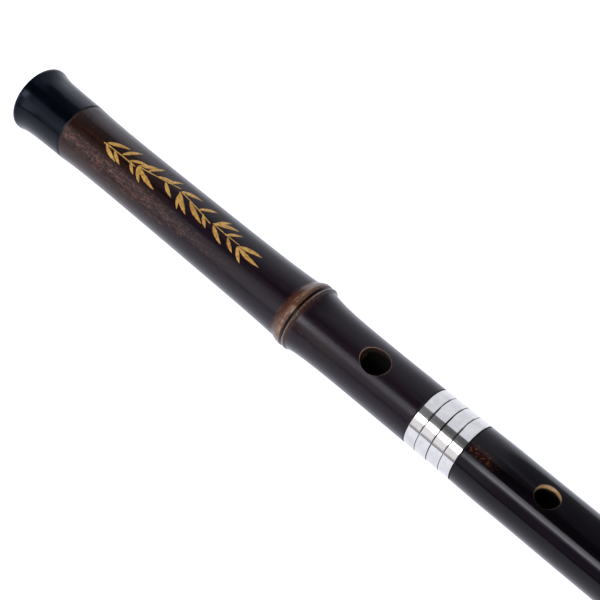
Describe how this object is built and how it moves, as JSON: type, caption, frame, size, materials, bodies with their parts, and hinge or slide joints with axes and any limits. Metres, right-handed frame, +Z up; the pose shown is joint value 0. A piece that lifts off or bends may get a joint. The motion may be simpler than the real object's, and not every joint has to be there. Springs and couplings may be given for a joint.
{
  "type": "dizi",
  "caption": "Two-section transverse bamboo flute with flared black end caps and a polished metal slip joint that slides and turns for tuning.",
  "frame": {"origin": "under the middle of the flute's length, on the plane that the rims of its two end caps rest on", "axes": "+X along the flute from the head end to the tail end, +Z up through the finger holes; the flute's own axis is parallel to X at Z = 0.01494"},
  "size_m": [0.667, 0.0298, 0.0299],
  "materials": {
    "bamboo": "dark brown-black stain under gloss lacquer",
    "cap": "black, turned and polished",
    "nickel": "polished nickel plate",
    "brass": "turned, unplated",
    "cork": "natural cork"
  },
  "bodies": {
    "head_section": {"head_cap": "cap", "head_tube": "bamboo", "stopper_cork": "cork", "head_collar": "nickel", "socket_liner": "brass"},
    "tenon": {"tenon_tube": "brass"},
    "body_section": {"body_collar": "nickel", "body_tube": "bamboo", "tail_cap": "cap"}
  },
  "joints": [
    {"name": "tuning_slide", "type": "slide", "parent": "head_section", "child": "tenon", "axis": [1, 0, 0], "range_m": [0, 0.032]},
    {"name": "section_turn", "type": "hinge", "parent": "tenon", "child": "body_section", "pos_m": [-0.1015, 0, 0.01494], "axis": [1, 0, 0], "continuous": true}
  ]
}
